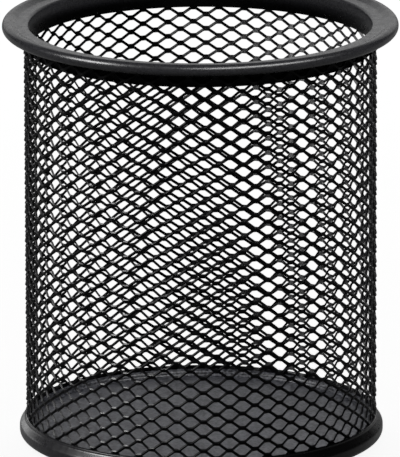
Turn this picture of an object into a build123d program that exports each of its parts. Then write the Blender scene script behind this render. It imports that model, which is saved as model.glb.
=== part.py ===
"""A round pen holder cup: a tube of expanded steel mesh between a rolled rim and a curled foot.

Millimetres. +Z is up, and the origin is the centre of the plane that the cup stands on.
Every piece is turned about the Z axis, apart from the mesh wall, which is a tube with its cells cut out.
Nothing on the cup moves. Spot welds through the mesh hold the rim, the pan and the foot to it.
"""

import os
from math import cos, pi, sin

from build123d import *

# Driving dimensions of the whole cup.
HEIGHT = 97.5
RIM_RADIUS = 45.0
FOOT_RADIUS = 41.6
SHEET = 0.4  # the steel that the rim, the pan and the foot are pressed from
CONTACT = 0.05  # what the mesh stands off the pieces welded to its inside

# Expanded mesh wall.
MESH_RADIUS = 40.0  # outside
MESH_THICKNESS = 0.65
MESH_BOTTOM = 1.1
MESH_TOP = 95.9
CELLS_AROUND = 42
CELL_HEIGHT = 3.395
STRAND_AT_SIDE = 0.9  # steel between two cells in one row
STRAND_AT_TOP = 0.7  # steel between two cells in one column
FIRST_ROW = 3.55  # height of the centres of the lowest row of cells
ROWS = 54  # each row is half a cell above the last, and half a cell round from it

# Rim: a collar inside the mesh, a flat flange, and a rolled bead standing proud of it.
COLLAR_BOTTOM = 91.2
FLANGE_DROP = 0.72  # how far the flange lies below the top of the bead
FLANGE_BEND = 0.6
FLANGE_END_RADIUS = 41.8
FLANGE_END_BEND = 1.5
BEAD_START_RADIUS = 43.3
BEAD_START_BEND = 1.0
BEAD_SIZE = 2.6  # outside height and width of the rolled edge
BEAD_BEND = 1.05
BEAD_CURL_END = 1.3  # how far the bead's edge stops below the top of the rim

# Floor pan: a disc with its edge turned up inside the mesh.
PAN_FLOOR = 2.8
PAN_LIP_TOP = 4.4
PAN_BEND = 0.8

# Foot ring: a band outside the mesh that flares and curls under it.
FOOT_TOP = 5.0
FOOT_BOTTOM = 0.4
FOOT_STRAIGHT = 0.7
FOOT_FLARE = 1.4  # the height that the flare takes
FOOT_TOP_BEND = 1.0
FOOT_FLARE_BEND = 1.2
FOOT_CURL_BEND = 1.0
FOOT_FLANGE_RADIUS = 37.8

# Base pad: a disc of foam rubber under the pan, standing a little proud of the foot.
PAD_RADIUS = 37.0
PAD_EDGE = 0.3

INNER_MESH_RADIUS = MESH_RADIUS - MESH_THICKNESS
COLLAR_LINE = INNER_MESH_RADIUS - CONTACT - SHEET / 2  # centre line of what lines the mesh


def bent_sheet(points, bends):
    """Sheet metal bent along a centre line of (radius, height) points, turned about the Z axis."""
    centre_line = FilletPolyline(*points, radius=bends)
    section = trace(centre_line, line_width=SHEET)
    return revolve(Plane.XZ * section, axis=Axis.Z).solid()


def rim_ring():
    bead_top = HEIGHT - SHEET / 2
    flange = bead_top - FLANGE_DROP
    bead_outside = RIM_RADIUS - SHEET / 2
    bead_inside = RIM_RADIUS - BEAD_SIZE + SHEET / 2
    bead_bottom = HEIGHT - BEAD_SIZE + SHEET / 2
    points = [
        (COLLAR_LINE, COLLAR_BOTTOM),
        (COLLAR_LINE, flange),
        (FLANGE_END_RADIUS, flange),
        (BEAD_START_RADIUS, bead_top),
        (bead_outside, bead_top),
        (bead_outside, bead_bottom),
        (bead_inside, bead_bottom),
        (bead_inside, HEIGHT - BEAD_CURL_END),
    ]
    bead_bends = [BEAD_START_BEND, BEAD_BEND, BEAD_BEND, BEAD_BEND]
    return bent_sheet(points, [FLANGE_BEND, FLANGE_END_BEND, *bead_bends])


def floor_pan():
    floor = PAN_FLOOR - SHEET / 2
    return bent_sheet([(0, floor), (COLLAR_LINE, floor), (COLLAR_LINE, PAN_LIP_TOP)], [PAN_BEND])


def foot_ring():
    band = MESH_RADIUS + SHEET / 2
    flared = FOOT_RADIUS - SHEET / 2
    bottom = FOOT_BOTTOM + SHEET / 2
    flare_top = FOOT_TOP - FOOT_STRAIGHT
    points = [
        (band, FOOT_TOP),
        (band, flare_top),
        (flared, flare_top - FOOT_FLARE),
        (flared, bottom),
        (FOOT_FLANGE_RADIUS, bottom),
    ]
    return bent_sheet(points, [FOOT_TOP_BEND, FOOT_FLARE_BEND, FOOT_CURL_BEND])


def base_pad():
    thickness = PAN_FLOOR - SHEET
    disc = Cylinder(PAD_RADIUS, thickness, align=(Align.CENTER, Align.CENTER, Align.MIN))
    return chamfer(disc.edges().sort_by(Axis.Z)[0], PAD_EDGE).solid()


def faceted_disc(radius):
    """A face with a corner on the centre line of every column of cells."""
    corners = 2 * CELLS_AROUND
    turn = 2 * pi / corners
    outline = [(radius * sin(i * turn), -radius * cos(i * turn)) for i in range(corners)]
    return make_face(Polyline(*outline, close=True))


def mesh_wall():
    """Each cell is a lozenge cut straight through the tube towards the axis."""
    wall = faceted_disc(MESH_RADIUS) - faceted_disc(INNER_MESH_RADIUS)
    tube = Pos(0, 0, MESH_BOTTOM) * extrude(wall, amount=MESH_TOP - MESH_BOTTOM)
    half_width = (2 * pi * MESH_RADIUS / CELLS_AROUND - STRAND_AT_SIDE) / 2
    half_height = (CELL_HEIGHT - STRAND_AT_TOP) / 2
    corners = [(-half_width, 0), (0, -half_height), (half_width, 0), (0, half_height)]
    lozenge = Plane.XZ * make_face(Polyline(*corners, close=True))
    cutter = Pos(0, -INNER_MESH_RADIUS + MESH_THICKNESS, 0) * extrude(lozenge, amount=3 * MESH_THICKNESS)
    cutters = []
    for row in range(ROWS):
        height = FIRST_ROW + row * CELL_HEIGHT / 2
        for cell in range(CELLS_AROUND):
            angle = (cell - (row + 1) % 2 / 2) * 360 / CELLS_AROUND
            cutters.append(Rot(0, 0, angle) * Pos(0, 0, height) * cutter)
    return tube.cut(*cutters).solid()


os.makedirs("parts", exist_ok=True)
for make in (mesh_wall, rim_ring, floor_pan, foot_ring, base_pad):
    export_step(make(), f"parts/{make.__name__}.step", write_pcurves=False)
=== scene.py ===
"""The look of the pen holder cup: black powder-coated steel mesh between a rolled rim and a curled foot.

Metres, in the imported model's frame: +Z is up, and the cup stands on Z = 0.
The front of the cup is at -Y, and an angle round the cup is measured from there towards +X.
"""

import math

import bpy
import numpy as np
from mathutils import Matrix, Vector


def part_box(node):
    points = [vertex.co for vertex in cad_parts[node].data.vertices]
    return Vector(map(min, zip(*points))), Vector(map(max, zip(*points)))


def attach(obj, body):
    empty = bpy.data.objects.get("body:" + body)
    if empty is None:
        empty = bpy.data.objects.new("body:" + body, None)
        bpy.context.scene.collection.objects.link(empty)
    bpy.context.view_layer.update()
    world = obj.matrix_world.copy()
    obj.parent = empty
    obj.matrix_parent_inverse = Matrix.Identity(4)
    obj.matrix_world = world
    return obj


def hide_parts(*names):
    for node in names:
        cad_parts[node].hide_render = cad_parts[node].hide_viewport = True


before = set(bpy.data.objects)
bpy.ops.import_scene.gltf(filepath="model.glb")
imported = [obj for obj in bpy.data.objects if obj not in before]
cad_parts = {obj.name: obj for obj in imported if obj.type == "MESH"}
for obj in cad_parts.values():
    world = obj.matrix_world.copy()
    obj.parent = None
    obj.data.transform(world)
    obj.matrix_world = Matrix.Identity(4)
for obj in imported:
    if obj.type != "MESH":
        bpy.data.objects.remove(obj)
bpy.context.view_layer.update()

MM = 0.001

RIM_LOW, RIM_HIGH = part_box("rim_ring")
FOOT_LOW, FOOT_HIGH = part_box("foot_ring")
PAN_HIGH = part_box("floor_pan")[1]
PAD_LOW, PAD_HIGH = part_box("base_pad")
WALL_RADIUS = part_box("mesh_wall")[1].x

# Pressed sheet.
SHEET = 0.4 * MM
WALL_THICKNESS = 0.65 * MM
CONTACT = 0.05 * MM  # what the wall stands off the sheet that lines it
LINING = WALL_RADIUS - WALL_THICKNESS - CONTACT - SHEET / 2  # centre line of that sheet
RIM_RADIUS = RIM_HIGH.x
RIM_TOP = RIM_HIGH.z
FLANGE_BEND = 0.6 * MM
FLANGE_DROP = 0.72 * MM  # how far the flange lies below the top of the bead
FLANGE_END_RADIUS = 41.8 * MM
FLANGE_END_BEND = 1.5 * MM
BEAD_START_RADIUS = 43.3 * MM
BEAD_START_BEND = 1.0 * MM
BEAD_SIZE = 2.6 * MM
BEAD_BEND = 1.05 * MM
BEAD_CURL_END = 1.3 * MM  # how far the bead's edge stops below the top of the rim
PAN_BEND = 0.8 * MM
FOOT_STRAIGHT = 0.7 * MM
FOOT_FLARE = 1.4 * MM  # the height that the flare takes
FOOT_TOP_BEND = 1.0 * MM
FOOT_FLARE_BEND = 1.2 * MM
FOOT_CURL_BEND = 1.0 * MM
FOOT_FLANGE_RADIUS = 37.8 * MM
PAD_CHAMFER = 0.3 * MM

# How finely turned pieces are divided.
SIDES = 288  # flats round a piece
BEND_STEP = math.radians(9)  # the most that one flat of a bend turns
EDGE_STEPS = 4  # flats of a sheet's rounded edge
ON_AXIS = 1e-9  # a smaller radius than this is a point on the axis

# Expanded mesh.
CELLS_AROUND = 42
CELL_HEIGHT = 3.395 * MM
STRAND_WIDTH = 0.56 * MM
STRAND_THICKNESS = 0.38 * MM
STRAND_TILT = math.radians(39)  # the top edge of each strand leans outwards
BOND_HALF = 0.403 * MM  # half the length along which two strands stay joined
STRAND_BEND = 0.544 * MM  # the length in which a strand turns from a bond to its slope
BEND_MIDDLE = 0.6  # how far along that bend it has a point of its own
WALL_LINE = 39.67 * MM  # radius of the middle of the strands
FIRST_BOND = 1.865 * MM  # height of the lowest bonds
STRAND_ROWS = 55
FRONT_TURN = 0.0105  # how far round the cells start
FRONT_SLANT = 0.042 * MM  # rise of the rows per radian at the front
BACK_SLANT = 0.106 * MM
BACK_TURN = 0.0297  # the back of the tube is sprung a little round and down
BACK_DROP = 0.818 * MM
SPRUNG_FROM = math.radians(70)
SPRUNG_TO = math.radians(110)
SECTION_SIDES = ((1, -1), (1, 1), (-1, 1), (-1, -1))  # a strand's corners: across it and through it
TOP_SIDE = 0  # the side between the first two corners
BOTTOM_SIDE = 2

# Powder coat and foam.
NOISE_LOW = 0.3  # what Blender's noise mostly lies between
NOISE_HIGH = 0.7
GRAIN_LOW = 0.42  # a narrower span, so that the grain's tones part
GRAIN_HIGH = 0.58
GLOSS_CHANGE = 0.05
PEEL_HEIGHT = 0.01 * MM
FOAM_CELL = 0.5 * MM
FOAM_CELL_DEPTH = 0.12 * MM

# Studio.
FLOOR_HALF = 3.0
FLOOR_GAP = 0.05 * MM  # keeps the floor's face and the pad's face apart
FLOOR_GREY = 0.86
FLOOR_SEEN = 0.9  # the floor's own glow, as the camera sees it
FLOOR_GLOW = 0.2  # and as it falls on the cup
BACKDROP_SEEN = 0.95
BACKDROP_GLOW = 0.04
CAMERA_PLACE = (-0.184 * MM, -2.07434, 0.58926)
CAMERA_PITCH = 0.25504
CAMERA_ROLL = -0.00268
CAMERA_SENSOR = 36
CAMERA_LENS = 740.4
CAMERA_REACH = 20


def link(name, mesh, material, node):
    """The piece that stands for a CAD node."""
    piece = bpy.data.objects.new(name, mesh)
    bpy.context.scene.collection.objects.link(piece)
    mesh.materials.append(material)
    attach(piece, "root")
    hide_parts(node)
    return piece


# Turned pieces.


def bent_line(corners, bends):
    """The points of a polyline with an arc at each of its inner corners."""
    corners = [Vector(c) for c in corners]
    path = [corners[0]]
    for before, corner, after, bend in zip(corners, corners[1:], corners[2:], bends):
        arriving = (corner - before).normalized()
        leaving = (after - corner).normalized()
        turn = arriving.angle_signed(leaving)
        start = corner - arriving * bend * math.tan(abs(turn) / 2)
        side = Vector((-arriving.y, arriving.x)) * (-1 if turn > 0 else 1)
        centre = start + side * bend
        steps = math.ceil(abs(turn) / BEND_STEP)
        for step in range(steps + 1):
            path.append(centre + Matrix.Rotation(-turn * step / steps, 2) @ (start - centre))
    path.append(corners[-1])
    return path


def sheet_sides(corners, bends):
    """The two sides of sheet metal bent along a line of (radius, height) corners."""
    path = bent_line(corners, bends)
    left, right = [], []
    for i, point in enumerate(path):
        along = path[min(i + 1, len(path) - 1)] - path[max(i - 1, 0)]
        normal = Vector((-along.y, along.x)).normalized() * SHEET / 2
        left.append(point + normal)
        right.append(point - normal)
    return left, right


def rounded_edge(start, end):
    """The points of a sheet's rounded edge between its two sides."""
    centre = (start + end) / 2
    angles = [math.pi * i / EDGE_STEPS for i in range(1, EDGE_STEPS)]
    return [centre + Matrix.Rotation(angle, 2) @ (start - centre) for angle in angles]


def turned(name, outline, closed):
    """A mesh turned about Z from (radius, height) points. An open outline starts and ends on the axis."""
    angles = np.arange(SIDES) * 2 * math.pi / SIDES
    circle = np.stack([np.sin(angles), -np.cos(angles)], -1)
    vertices, faces, rings = [], [], []
    for radius, height in outline:
        if radius < ON_AXIS:
            rings.append([len(vertices)] * SIDES)
            vertices.append((0, 0, height))
        else:
            rings.append(list(range(len(vertices), len(vertices) + SIDES)))
            vertices.extend((radius * x, radius * y, height) for x, y in circle)
    pairs = list(zip(rings, rings[1:]))
    if closed:
        pairs.append((rings[-1], rings[0]))
    for low, high in pairs:
        for i in range(SIDES):
            j = (i + 1) % SIDES
            corners = [low[i], low[j], high[j], high[i]]
            faces.append(list(dict.fromkeys(corners)))  # a triangle where two of them are the axis
    mesh = bpy.data.meshes.new(name)
    mesh.from_pydata(vertices, [], faces)
    mesh.shade_smooth()
    return mesh


def sheet_ring(name, corners, bends):
    left, right = sheet_sides(corners, bends)
    outline = left + rounded_edge(left[-1], right[-1]) + right[::-1] + rounded_edge(right[0], left[0])
    return turned(name, outline[::-1], closed=True)


def sheet_dish(name, corners, bends):
    """Bent sheet that starts on the axis."""
    left, right = sheet_sides(corners, bends)
    outline = left + rounded_edge(left[-1], right[-1]) + right[::-1]
    return turned(name, outline[::-1], closed=False)


# Materials.


def new_material(name):
    material = bpy.data.materials.new(name)
    material.use_nodes = True
    nodes = material.node_tree.nodes
    return material, nodes, material.node_tree.links, nodes["Principled BSDF"]


def object_noise(nodes, links, size, detail=2.0, roughness=0.5):
    """Noise with features of the given size."""
    coordinates = nodes.new("ShaderNodeTexCoord")
    noise = nodes.new("ShaderNodeTexNoise")
    noise.inputs["Scale"].default_value = 1 / size
    noise.inputs["Detail"].default_value = detail
    noise.inputs["Roughness"].default_value = roughness
    links.new(coordinates.outputs["Object"], noise.inputs["Vector"])
    return noise


def ramp(nodes, links, source, low, high, start, end):
    """The colour low where the source is at start or less, and high where it is at end or more."""
    node = nodes.new("ShaderNodeValToRGB")
    node.color_ramp.elements[0].position = start
    node.color_ramp.elements[0].color = (*low, 1)
    node.color_ramp.elements[1].position = end
    node.color_ramp.elements[1].color = (*high, 1)
    links.new(source, node.inputs["Fac"])
    return node.outputs["Color"]


def spread(nodes, links, source, low, high):
    """The span of noise mapped to low..high."""
    node = nodes.new("ShaderNodeMapRange")
    node.inputs["From Min"].default_value = NOISE_LOW
    node.inputs["From Max"].default_value = NOISE_HIGH
    node.inputs["To Min"].default_value = low
    node.inputs["To Max"].default_value = high
    links.new(source, node.inputs["Value"])
    return node.outputs["Result"]


def bump(nodes, links, source, height):
    node = nodes.new("ShaderNodeBump")
    node.inputs["Distance"].default_value = height
    links.new(source, node.inputs["Height"])
    return node


def powder_coat(name, dark, light, roughness, specular, grain, grain_height, peel):
    """Baked powder: orange peel under a fine grain, with small changes of tone and gloss."""
    material, nodes, links, shader = new_material(name)
    shader.inputs["Specular IOR Level"].default_value = specular
    fine = object_noise(nodes, links, grain, detail=3.0, roughness=0.6).outputs["Fac"]
    broad = object_noise(nodes, links, peel).outputs["Fac"]
    tone = ramp(nodes, links, fine, dark, light, GRAIN_LOW, GRAIN_HIGH)
    links.new(tone, shader.inputs["Base Color"])
    gloss = spread(nodes, links, broad, roughness - GLOSS_CHANGE, roughness + GLOSS_CHANGE)
    links.new(gloss, shader.inputs["Roughness"])
    grain_bump = bump(nodes, links, fine, grain_height)
    peel_bump = bump(nodes, links, broad, PEEL_HEIGHT)
    links.new(grain_bump.outputs["Normal"], peel_bump.inputs["Normal"])
    links.new(peel_bump.outputs["Normal"], shader.inputs["Normal"])
    return material


def foam(name):
    """Closed-cell foam rubber: small round cells in a matt skin."""
    material, nodes, links, shader = new_material(name)
    shader.inputs["Specular IOR Level"].default_value = 0.2
    coordinates = nodes.new("ShaderNodeTexCoord")
    voronoi = nodes.new("ShaderNodeTexVoronoi")
    voronoi.inputs["Scale"].default_value = 1 / FOAM_CELL
    links.new(coordinates.outputs["Object"], voronoi.inputs["Vector"])
    cells = voronoi.outputs["Distance"]
    tone = ramp(nodes, links, cells, (0.016, 0.016, 0.017), (0.036, 0.036, 0.038), 0.1, 0.6)
    links.new(tone, shader.inputs["Base Color"])
    links.new(spread(nodes, links, cells, 0.82, 0.96), shader.inputs["Roughness"])
    links.new(bump(nodes, links, cells, FOAM_CELL_DEPTH).outputs["Normal"], shader.inputs["Normal"])
    return material


def rim_or_foot_coat(name, grain_height):
    return powder_coat(
        name,
        dark=(0.003, 0.003, 0.0035),
        light=(0.008, 0.008, 0.009),
        roughness=0.3,
        specular=0.25,
        grain=0.28 * MM,
        grain_height=grain_height,
        peel=1.4 * MM,
    )


def pan_coat():
    return powder_coat(
        "pan_coat",
        dark=(0.0, 0.0, 0.001),
        light=(0.034, 0.035, 0.040),
        roughness=0.42,
        specular=0.3,
        grain=0.6 * MM,
        grain_height=0.08 * MM,
        peel=2.0 * MM,
    )


def wall_coat():
    return powder_coat(
        "wall_coat",
        dark=(0.0015, 0.0015, 0.0016),
        light=(0.004, 0.004, 0.0044),
        roughness=0.34,
        specular=0.1,
        grain=0.25 * MM,
        grain_height=0.01 * MM,
        peel=1.1 * MM,
    )


# Expanded mesh.


def strand_stations():
    """Places along one cell's width, from one bond at a strand's bottom to the next."""
    pitch = 2 * math.pi * WALL_LINE / CELLS_AROUND
    in_bend = BOND_HALF + BEND_MIDDLE * STRAND_BEND
    half = [0, BOND_HALF, in_bend, pitch / 2 - in_bend, pitch / 2 - BOND_HALF]
    return pitch, np.array(half + [pitch / 2] + [pitch - u for u in half[:0:-1]])


def strand_rise(u, pitch):
    """How far up its slope a strand is at u, from 0 to 1, and the slope there."""
    run = pitch / 2 - 2 * BOND_HALF
    area = run - STRAND_BEND
    u = (u + pitch / 2) % pitch - pitch / 2
    x = np.clip(np.abs(u) - BOND_HALF, 0, run)
    into = x * x / (2 * STRAND_BEND)
    out_of = area - (run - x) ** 2 / (2 * STRAND_BEND)
    rise = np.where(x < STRAND_BEND, into, np.where(x < run - STRAND_BEND, x - STRAND_BEND / 2, out_of))
    slope = np.clip(np.minimum(x, run - x) / STRAND_BEND, 0, 1)
    return rise / area, np.sign(u) * slope / area


def strand_section():
    """The four edges of one strand over one cell: arrays of (along, outwards, up) from its lower bonds."""
    pitch, stations = strand_stations()
    rise, slope = strand_rise(stations, pitch)
    lean_out = STRAND_WIDTH * math.sin(STRAND_TILT) / 2
    lean_up = STRAND_WIDTH * math.cos(STRAND_TILT) / 2
    climb = CELL_HEIGHT / 2 - 2 * lean_up
    centre = np.stack([stations, lean_out * (1 - 2 * rise), lean_up + climb * rise], -1)
    along = np.stack([np.ones_like(slope), -2 * lean_out * slope, climb * slope], -1)
    along /= np.linalg.norm(along, axis=1)[:, None]
    across = np.array([0, math.sin(STRAND_TILT), math.cos(STRAND_TILT)])
    across = across - (along @ across)[:, None] * along
    across /= np.linalg.norm(across, axis=1)[:, None]
    through = np.cross(along, across) * STRAND_THICKNESS / 2
    across *= STRAND_WIDTH / 2
    return pitch, np.stack([centre + across * a + through * b for a, b in SECTION_SIDES], 1)


def sprung(angle, height):
    """Puts a point of the regular grid where the rolled and welded tube has it."""
    angle = (angle + math.pi) % (2 * math.pi) - math.pi
    part = np.clip((np.abs(angle) - SPRUNG_FROM) / (SPRUNG_TO - SPRUNG_FROM), 0, 1)
    part = part * part * (3 - 2 * part)
    behind = np.where(angle > 0, math.pi - angle, -math.pi - angle)
    lift = FRONT_SLANT * angle * (1 - part) + (BACK_SLANT * behind - BACK_DROP) * part
    return angle + BACK_TURN * part, height + lift


def row_points(row, pitch, section):
    """The points of a row's strands, by cell, station and corner. Every other row is half a cell round."""
    cells = np.arange(CELLS_AROUND)[:, None, None]
    along = (cells + (row + 1) % 2 / 2) * pitch + section[..., 0]
    radius = np.broadcast_to(WALL_LINE + section[..., 1], along.shape)
    height = FIRST_BOND + row * CELL_HEIGHT / 2 + section[..., 2]
    angle, height = sprung(FRONT_TURN + along / WALL_LINE, height)
    return np.stack([radius * np.sin(angle), -radius * np.cos(angle), height], -1)


def join_bonds(ids, below, turn):
    """Gives a row's strands, along each bond at their bottom, the points of the row below."""
    count = ids.shape[1]
    top = count // 2
    below = np.roll(below, turn, axis=0)
    following = np.roll(below, -1, axis=0)
    for here, lower in ((0, below[:, top]), (1, below[:, top + 1]), (count - 1, following[:, top - 1])):
        ids[:, here, 2] = lower[:, 1]
        ids[:, here, 3] = lower[:, 0]


def row_faces(ids, joined_below, joined_above):
    """The four sides of one row's strands, without those that a bond closes off."""
    count = ids.shape[1]
    top = count // 2
    after = np.concatenate([ids[:, 1:], np.roll(ids[:, :1], -1, axis=0)], axis=1)
    faces = []
    for side in range(len(SECTION_SIDES)):
        following = (side + 1) % len(SECTION_SIDES)
        keep = np.ones(count, bool)
        if side == BOTTOM_SIDE and joined_below:
            keep[[0, count - 1]] = False
        if side == TOP_SIDE and joined_above:
            keep[[top - 1, top]] = False
        corners = (ids[..., side], after[..., side], after[..., following], ids[..., following])
        faces.append(np.stack(corners, -1)[:, keep].reshape(-1, 4))
    return np.concatenate(faces)


def wall_mesh(name):
    """Every strand of the expanded mesh, with the rows joined at their bonds into one closed surface."""
    pitch, section = strand_section()
    points = np.stack([row_points(row, pitch, section) for row in range(STRAND_ROWS)])
    ids = np.arange(points[..., 0].size).reshape(points.shape[:-1])
    for row in range(1, STRAND_ROWS):
        join_bonds(ids[row], ids[row - 1], row % 2)
    faces = [row_faces(ids[row], row > 0, row < STRAND_ROWS - 1) for row in range(STRAND_ROWS)]
    used, faces = np.unique(np.concatenate(faces), return_inverse=True)
    points = points.reshape(-1, 3)[used]
    mesh = bpy.data.meshes.new(name)
    mesh.from_pydata(points.tolist(), [], faces.reshape(-1, 4).tolist())
    return mesh


# Pieces.


def make_rim():
    top = RIM_TOP - SHEET / 2
    flange = top - FLANGE_DROP
    bead_outside = RIM_RADIUS - SHEET / 2
    bead_inside = RIM_RADIUS - BEAD_SIZE + SHEET / 2
    bead_bottom = RIM_TOP - BEAD_SIZE + SHEET / 2
    corners = [
        (LINING, RIM_LOW.z),
        (LINING, flange),
        (FLANGE_END_RADIUS, flange),
        (BEAD_START_RADIUS, top),
        (bead_outside, top),
        (bead_outside, bead_bottom),
        (bead_inside, bead_bottom),
        (bead_inside, RIM_TOP - BEAD_CURL_END),
    ]
    bends = [FLANGE_BEND, FLANGE_END_BEND, BEAD_START_BEND, BEAD_BEND, BEAD_BEND, BEAD_BEND]
    mesh = sheet_ring("rolled_rim", corners, bends)
    coat = rim_or_foot_coat("rim_coat", grain_height=0.02 * MM)
    return link("rolled_rim", mesh, coat, "rim_ring")


def make_foot():
    band = WALL_RADIUS + SHEET / 2
    flared = FOOT_HIGH.x - SHEET / 2
    bottom = FOOT_LOW.z + SHEET / 2
    flare_top = FOOT_HIGH.z - FOOT_STRAIGHT
    corners = [
        (band, FOOT_HIGH.z),
        (band, flare_top),
        (flared, flare_top - FOOT_FLARE),
        (flared, bottom),
        (FOOT_FLANGE_RADIUS, bottom),
    ]
    mesh = sheet_ring("curled_foot", corners, [FOOT_TOP_BEND, FOOT_FLARE_BEND, FOOT_CURL_BEND])
    coat = rim_or_foot_coat("foot_coat", grain_height=0.012 * MM)
    return link("curled_foot", mesh, coat, "foot_ring")


def make_pan():
    floor = PAD_HIGH.z + SHEET / 2
    mesh = sheet_dish("floor_pan_sheet", [(0, floor), (LINING, floor), (LINING, PAN_HIGH.z)], [PAN_BEND])
    return link("floor_pan_sheet", mesh, pan_coat(), "floor_pan")


def make_pad():
    radius = PAD_HIGH.x
    outline = [
        (0, PAD_LOW.z),
        (radius - PAD_CHAMFER, PAD_LOW.z),
        (radius, PAD_LOW.z + PAD_CHAMFER),
        (radius, PAD_HIGH.z),
        (0, PAD_HIGH.z),
    ]
    mesh = turned("foam_pad", outline, closed=False)
    return link("foam_pad", mesh, foam("pad_foam"), "base_pad")


def make_wall():
    return link("expanded_mesh", wall_mesh("expanded_mesh"), wall_coat(), "mesh_wall")


# Studio.


def make_floor():
    mesh = bpy.data.meshes.new("studio_floor")
    sides = ((-1, -1), (1, -1), (1, 1), (-1, 1))
    corners = [(x * FLOOR_HALF, y * FLOOR_HALF, -FLOOR_GAP) for x, y in sides]
    mesh.from_pydata(corners, [], [(0, 1, 2, 3)])
    floor = bpy.data.objects.new("studio_floor", mesh)
    bpy.context.scene.collection.objects.link(floor)
    material, nodes, links, shader = new_material("pale_floor")
    shader.inputs["Base Color"].default_value = (FLOOR_GREY, FLOOR_GREY, FLOOR_GREY, 1)
    shader.inputs["Roughness"].default_value = 0.9
    shader.inputs["Specular IOR Level"].default_value = 0.1
    shader.inputs["Emission Color"].default_value = (1, 1, 1, 1)
    seen = nodes.new("ShaderNodeLightPath")
    glow = nodes.new("ShaderNodeMapRange")
    glow.inputs["To Min"].default_value = FLOOR_GLOW
    glow.inputs["To Max"].default_value = FLOOR_SEEN
    links.new(seen.outputs["Is Camera Ray"], glow.inputs["Value"])
    links.new(glow.outputs["Result"], shader.inputs["Emission Strength"])
    mesh.materials.append(material)


def softbox(name, direction, distance, width, height, radiance, lit=None):
    """An even rectangular light pointing at the middle of the cup. It lights everything, or only lit."""
    middle = Vector((0, 0, RIM_TOP / 2))
    place = middle + Vector(direction).normalized() * distance
    light = bpy.data.lights.new(name, "AREA")
    light.shape = "RECTANGLE"
    light.size = width
    light.size_y = height
    light.energy = math.pi * width * height * radiance
    lamp = bpy.data.objects.new(name, light)
    lamp.location = place
    lamp.rotation_mode = "QUATERNION"
    lamp.rotation_quaternion = (middle - place).to_track_quat("-Z", "Y")
    lamp.visible_camera = False
    bpy.context.scene.collection.objects.link(lamp)
    if lit is not None:
        receivers = bpy.data.collections.new(f"lit_by_{name}")
        for piece in lit:
            receivers.objects.link(piece)
        lamp.light_linking.receiver_collection = receivers


def make_world():
    """Little light of its own, and a pale backdrop where nothing stands in front of it."""
    world = bpy.data.worlds.new("studio")
    world.use_nodes = True
    nodes, links = world.node_tree.nodes, world.node_tree.links
    seen = nodes.new("ShaderNodeLightPath")
    light = nodes["Background"]
    backdrop = nodes.new("ShaderNodeBackground")
    for background, strength in ((light, BACKDROP_GLOW), (backdrop, BACKDROP_SEEN)):
        background.inputs["Color"].default_value = (1, 1, 1, 1)
        background.inputs["Strength"].default_value = strength
    mix = nodes.new("ShaderNodeMixShader")
    links.new(seen.outputs["Is Camera Ray"], mix.inputs["Fac"])
    links.new(light.outputs["Background"], mix.inputs[1])
    links.new(backdrop.outputs["Background"], mix.inputs[2])
    links.new(mix.outputs["Shader"], nodes["World Output"].inputs["Surface"])
    bpy.context.scene.world = world


def make_camera():
    data = bpy.data.cameras.new("camera")
    data.sensor_width = CAMERA_SENSOR
    data.lens = CAMERA_LENS
    data.clip_end = CAMERA_REACH
    camera = bpy.data.objects.new("camera", data)
    look = Matrix.Rotation(math.pi / 2 - CAMERA_PITCH, 4, "X") @ Matrix.Rotation(CAMERA_ROLL, 4, "Z")
    camera.matrix_world = Matrix.Translation(CAMERA_PLACE) @ look
    bpy.context.scene.collection.objects.link(camera)
    bpy.context.scene.camera = camera


rim = make_rim()
foot = make_foot()
pan = make_pan()
pad = make_pad()
wall = make_wall()

make_floor()
make_world()
softbox("back_panel", (0, 1, 0.36), 2.1, 2.6, 1.15, radiance=0.83)
softbox("side_panel", (-0.52, 0.85, 0.03), 1.6, 1.3, 0.6, radiance=1.8, lit=[foot])
softbox("key_softbox", (-0.78, -0.28, 0.49), 1.1, 0.4, 0.4, radiance=52, lit=[rim, foot, pan, pad, wall])
softbox("edge_softbox", (-0.40, 0.12, 0.88), 1.0, 0.4, 0.35, radiance=75, lit=[wall])
softbox("top_softbox", (-0.5, 0.15, 0.85), 1.1, 0.45, 0.45, radiance=9, lit=[pan])
softbox("strip_softbox", (0.42, -0.58, 0.68), 1.2, 1.3, 0.4, radiance=28, lit=[rim, pan])
make_camera()
bpy.context.scene.view_settings.view_transform = "Standard"
